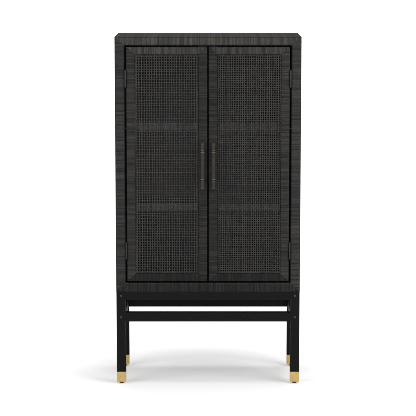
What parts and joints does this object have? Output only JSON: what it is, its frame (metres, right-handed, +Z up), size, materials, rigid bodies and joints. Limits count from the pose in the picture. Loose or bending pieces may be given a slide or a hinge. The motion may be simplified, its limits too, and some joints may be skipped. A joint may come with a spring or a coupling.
{
  "type": "cabinet",
  "caption": "Tall double-door cabinet wrapped in dark twisted cord, with open-weave cord door panels and cord-bound bar handles, on an open black stand with brass-shod legs.",
  "frame": {"origin": "centre of the whole object's footprint, at floor level", "axes": "+Z up, -Y towards the doors, +X to the right of a person facing the doors"},
  "size_m": [0.973, 0.4948, 1.844],
  "materials": {
    "cord": "black-dyed twisted plant-fibre cord",
    "stained_wood": "black stain, satin",
    "board_wood": "black-painted board",
    "brass": "brushed, lacquered",
    "black_metal": "black",
    "steel": "zinc-plated",
    "glide_plastic": "moulded black",
    "catch_plastic": "moulded black"
  },
  "bodies": {
    "cabinet": {"apron_front": "stained_wood", "apron_left": "stained_wood", "apron_rear": "stained_wood", "apron_right": "stained_wood", "back_screws": "steel", "barrel_nuts": "steel", "brass_ferrules": "brass", "case_back_panel": "board_wood", "case_bottom_board": "board_wood", "case_bottom_cord_wrap": "cord", "case_hinge_leaves": "black_metal", "case_hinge_screws": "black_metal", "case_screws": "steel", "case_side_left_board": "board_wood", "case_side_left_cord_wrap": "cord", "case_side_right_board": "board_wood", "case_side_right_cord_wrap": "cord", "case_top_board": "board_wood", "case_top_cord_wrap": "cord", "frame_bolts": "black_metal", "glide_inserts": "steel", "hinge_pins": "black_metal", "leg_front_left": "stained_wood", "leg_front_right": "stained_wood", "leg_rear_left": "stained_wood", "leg_rear_right": "stained_wood", "magnetic_catches": "catch_plastic", "shelf_lower": "board_wood", "shelf_pins": "steel", "shelf_upper": "board_wood", "stretcher_front": "stained_wood", "stretcher_left": "stained_wood", "stretcher_rear": "stained_wood", "stretcher_right": "stained_wood"},
    "left_door": {"left_door_cord_wrap": "cord", "left_door_cross_rails": "board_wood", "left_door_hinge_leaves": "black_metal", "left_door_rails": "board_wood", "left_door_screws": "steel", "left_door_stiles": "board_wood", "left_door_strike_plate": "steel", "left_door_woven_panel": "cord", "left_handle_brass": "brass", "left_handle_cord_binding": "cord", "left_handle_rod": "black_metal"},
    "right_door": {"right_door_cord_wrap": "cord", "right_door_cross_rails": "board_wood", "right_door_hinge_leaves": "black_metal", "right_door_rails": "board_wood", "right_door_screws": "steel", "right_door_stiles": "board_wood", "right_door_strike_plate": "steel", "right_door_woven_panel": "cord", "right_handle_brass": "brass", "right_handle_cord_binding": "cord", "right_handle_rod": "black_metal"},
    "glide_front_left_foot": {"glide_front_left": "glide_plastic"},
    "glide_front_right_foot": {"glide_front_right": "glide_plastic"},
    "glide_rear_left_foot": {"glide_rear_left": "glide_plastic"},
    "glide_rear_right_foot": {"glide_rear_right": "glide_plastic"}
  },
  "joints": [
    {"name": "left_door_hinge", "type": "hinge", "parent": "cabinet", "child": "left_door", "pos_m": [-0.4305, -0.2126, 1.1725], "axis": [0, 0, -1], "range_deg": [0, 170]},
    {"name": "right_door_hinge", "type": "hinge", "parent": "cabinet", "child": "right_door", "pos_m": [0.4305, -0.2126, 1.1725], "axis": [0, 0, 1], "range_deg": [0, 170]},
    {"name": "level_front_left", "type": "slide", "parent": "cabinet", "child": "glide_front_left_foot", "axis": [0, 0, -1], "range_m": [0, 0.008]},
    {"name": "level_front_right", "type": "slide", "parent": "cabinet", "child": "glide_front_right_foot", "axis": [0, 0, -1], "range_m": [0, 0.008]},
    {"name": "level_rear_left", "type": "slide", "parent": "cabinet", "child": "glide_rear_left_foot", "axis": [0, 0, -1], "range_m": [0, 0.008]},
    {"name": "level_rear_right", "type": "slide", "parent": "cabinet", "child": "glide_rear_right_foot", "axis": [0, 0, -1], "range_m": [0, 0.008]}
  ]
}
